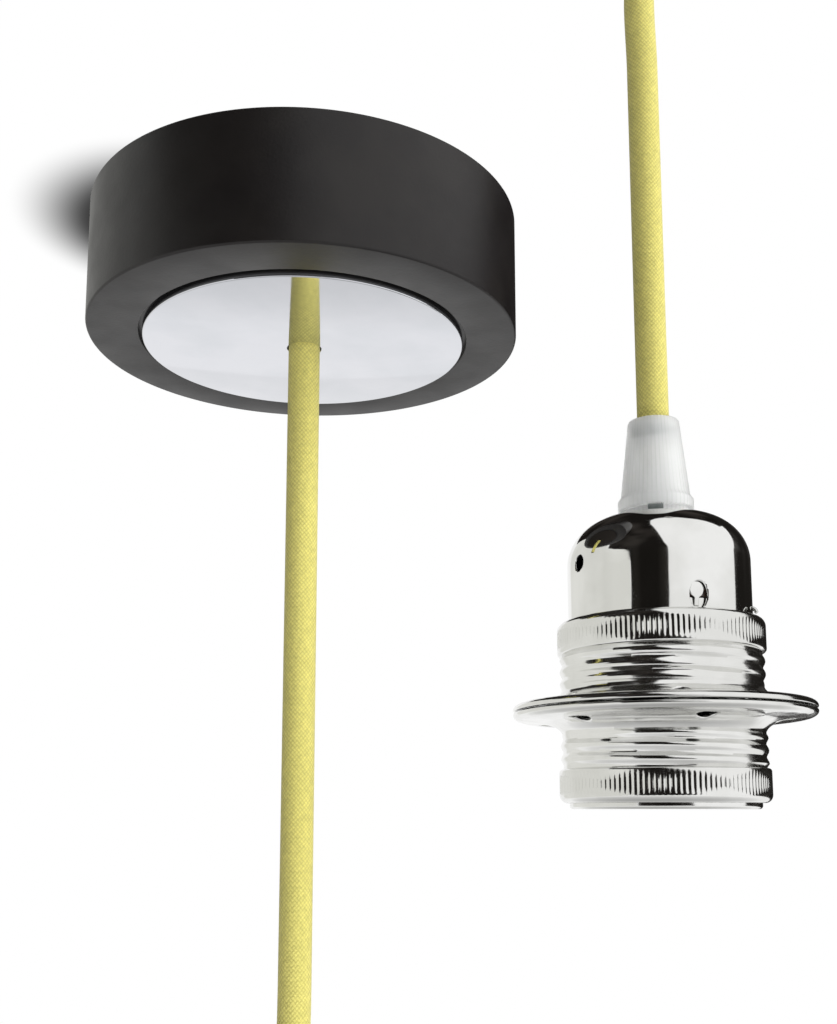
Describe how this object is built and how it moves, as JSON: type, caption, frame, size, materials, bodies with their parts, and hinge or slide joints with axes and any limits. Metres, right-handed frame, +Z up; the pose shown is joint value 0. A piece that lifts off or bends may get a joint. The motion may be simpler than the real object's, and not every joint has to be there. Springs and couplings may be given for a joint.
{
  "type": "pendant light",
  "caption": "Pendant light set: round ceiling rose with a polished disc, one textile cord, and a bare metal lamp holder with two shade rings.",
  "frame": {"origin": "centre of the rose's ceiling face", "axes": "+Z up, out of the ceiling face; the lamp holder hangs on the +X side of the rose; -Y is the side that the picture shows"},
  "size_m": [0.1873, 0.095, 0.4502],
  "materials": {
    "black_lacquer": "satin",
    "polished_steel": "polished",
    "chrome": "polished",
    "zinc_steel": "zinc plated",
    "brass": "plain",
    "white_nylon": "matt",
    "frosted_plastic": "frosted, translucent",
    "brown_phenolic": "moulded",
    "black_rubber": "matt",
    "braid": "woven braid",
    "white_sheath": "matt",
    "brown_core": "matt",
    "blue_core": "matt",
    "green_yellow_core": "matt"
  },
  "bodies": {
    "pendant": {"rose_canopy": "black_lacquer", "rose_disc": "polished_steel", "cord_bush": "black_rubber", "disc_magnet_1": "zinc_steel", "disc_magnet_2": "zinc_steel", "disc_magnet_3": "zinc_steel", "mounting_bracket": "zinc_steel", "canopy_screw_1": "zinc_steel", "canopy_screw_2": "zinc_steel", "rose_cord_clamp": "white_nylon", "clamp_screw": "zinc_steel", "rose_terminal_block": "white_nylon", "rose_terminal_screw_1": "brass", "rose_terminal_screw_2": "brass", "rose_terminal_screw_3": "brass", "rose_core_brown": "brown_core", "rose_core_earth": "green_yellow_core", "rose_core_blue": "blue_core", "textile_cord": "braid", "ceiling_hook": "chrome", "grip_nut": "frosted_plastic", "grip_base": "frosted_plastic", "threaded_nipple": "zinc_steel", "lock_washer": "zinc_steel", "lock_nut": "zinc_steel", "inner_sheath": "white_sheath", "dome_cap": "chrome", "threaded_sleeve": "chrome", "upper_shade_ring": "chrome", "insert_core": "brown_phenolic", "insert_liner": "brown_phenolic", "lamp_screw_shell": "brass", "centre_contact": "brass", "holder_terminal_1": "brass", "holder_terminal_2": "brass", "holder_terminal_3": "brass", "holder_terminal_screw_1": "zinc_steel", "holder_terminal_screw_2": "zinc_steel", "holder_terminal_screw_3": "zinc_steel", "holder_core_brown": "brown_core", "holder_core_earth": "green_yellow_core", "holder_core_blue": "blue_core"},
    "lower_ring": {"lower_shade_ring": "chrome"}
  },
  "joints": [
    {"name": "lower_ring_travel", "type": "slide", "parent": "pendant", "child": "lower_ring", "axis": [0, 0, -1], "range_m": [0, 0.014]}
  ]
}
